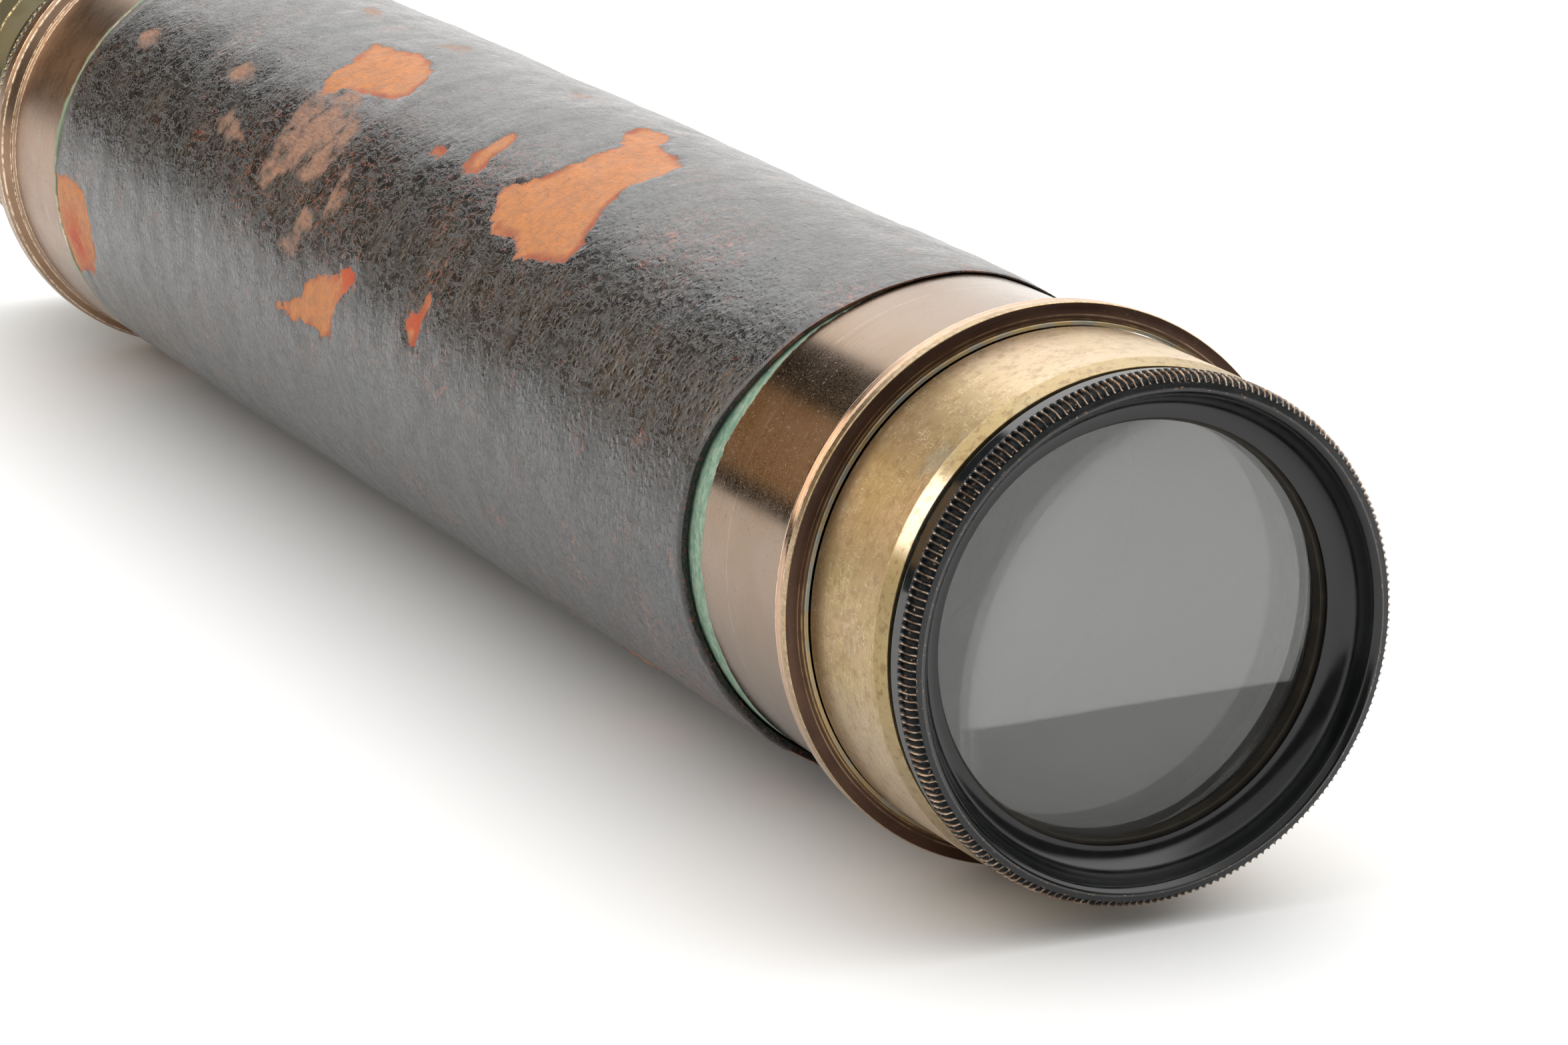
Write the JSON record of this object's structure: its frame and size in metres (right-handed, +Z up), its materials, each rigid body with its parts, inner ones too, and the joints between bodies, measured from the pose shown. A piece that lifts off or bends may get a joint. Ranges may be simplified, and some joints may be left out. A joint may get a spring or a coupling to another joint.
{
  "type": "hand telescope",
  "caption": "Closed hand telescope of brass draw tubes in a leather-covered main tube, with a milled black objective cell, a bead ring and an eyepiece with a swinging shutter.",
  "frame": {"origin": "on the surface the closed telescope rests on, under the middle of its length", "axes": "+X along the optical axis towards the objective, -X towards the eyepiece, +Z up, away from the surface it lies on"},
  "size_m": [0.29, 0.0546, 0.0546],
  "materials": {
    "black_lacquer": "black lacquer on brass, semi-gloss, worn on the milled edge",
    "dark_bronze": "dark bronzed brass, satin",
    "gold_brass": "brushed old brass, greenish gold",
    "brown_brass": "tarnished brown brass with verdigris at the edges",
    "draw_brass": "polished brass with fine scratches",
    "blackened": "brass painted matt black inside",
    "leather": "black leather, semi-gloss, worn through to tan",
    "glass": "polished optical glass"
  },
  "bodies": {
    "barrel": {"objective_cell": "black_lacquer", "lens_seat_ring": "dark_bronze", "cell_retaining_ring": "dark_bronze", "objective_crown_lens": "glass", "lens_spacer": "dark_bronze", "objective_flint_lens": "glass", "objective_sleeve": "gold_brass", "main_tube": "brown_brass", "front_bead_ring": "brown_brass", "leather_cover": "leather", "rear_ferrule": "brown_brass", "barrel_stop": "blackened", "draw_1_guide": "blackened"},
    "draw_1": {"draw_1_tube": "draw_brass", "draw_1_stop_ring": "draw_brass", "draw_1_collar": "draw_brass", "draw_2_guide": "blackened"},
    "draw_2": {"draw_2_tube": "draw_brass", "draw_2_stop_ring": "draw_brass", "draw_2_collar": "draw_brass", "draw_3_guide": "blackened"},
    "draw_3": {"draw_3_tube": "draw_brass", "draw_3_stop_ring": "draw_brass", "erector_tube": "draw_brass", "erector_front_lens": "glass", "erector_front_lens_cell": "blackened", "erector_stop": "blackened", "erector_rear_lens": "glass", "erector_rear_lens_cell": "blackened", "eyepiece_tube": "draw_brass", "field_lens": "glass", "field_lens_cell": "blackened", "field_stop": "blackened", "eye_lens": "glass", "eye_lens_cell": "blackened", "eye_cap": "draw_brass", "shutter_pivot_screw": "draw_brass"},
    "eye_shutter": {"eye_shutter": "draw_brass"}
  },
  "joints": [
    {"name": "draw_1_slide", "type": "slide", "parent": "barrel", "child": "draw_1", "axis": [-1, 0, 0], "range_m": [0, 0.1655]},
    {"name": "draw_2_slide", "type": "slide", "parent": "draw_1", "child": "draw_2", "axis": [-1, 0, 0], "range_m": [0, 0.168]},
    {"name": "draw_3_slide", "type": "slide", "parent": "draw_2", "child": "draw_3", "axis": [-1, 0, 0], "range_m": [0, 0.169]},
    {"name": "eye_shutter_swing", "type": "hinge", "parent": "draw_3", "child": "eye_shutter", "pos_m": [-0.14315, 0, 0.0368], "axis": [1, 0, 0], "range_deg": [0, 62]}
  ]
}
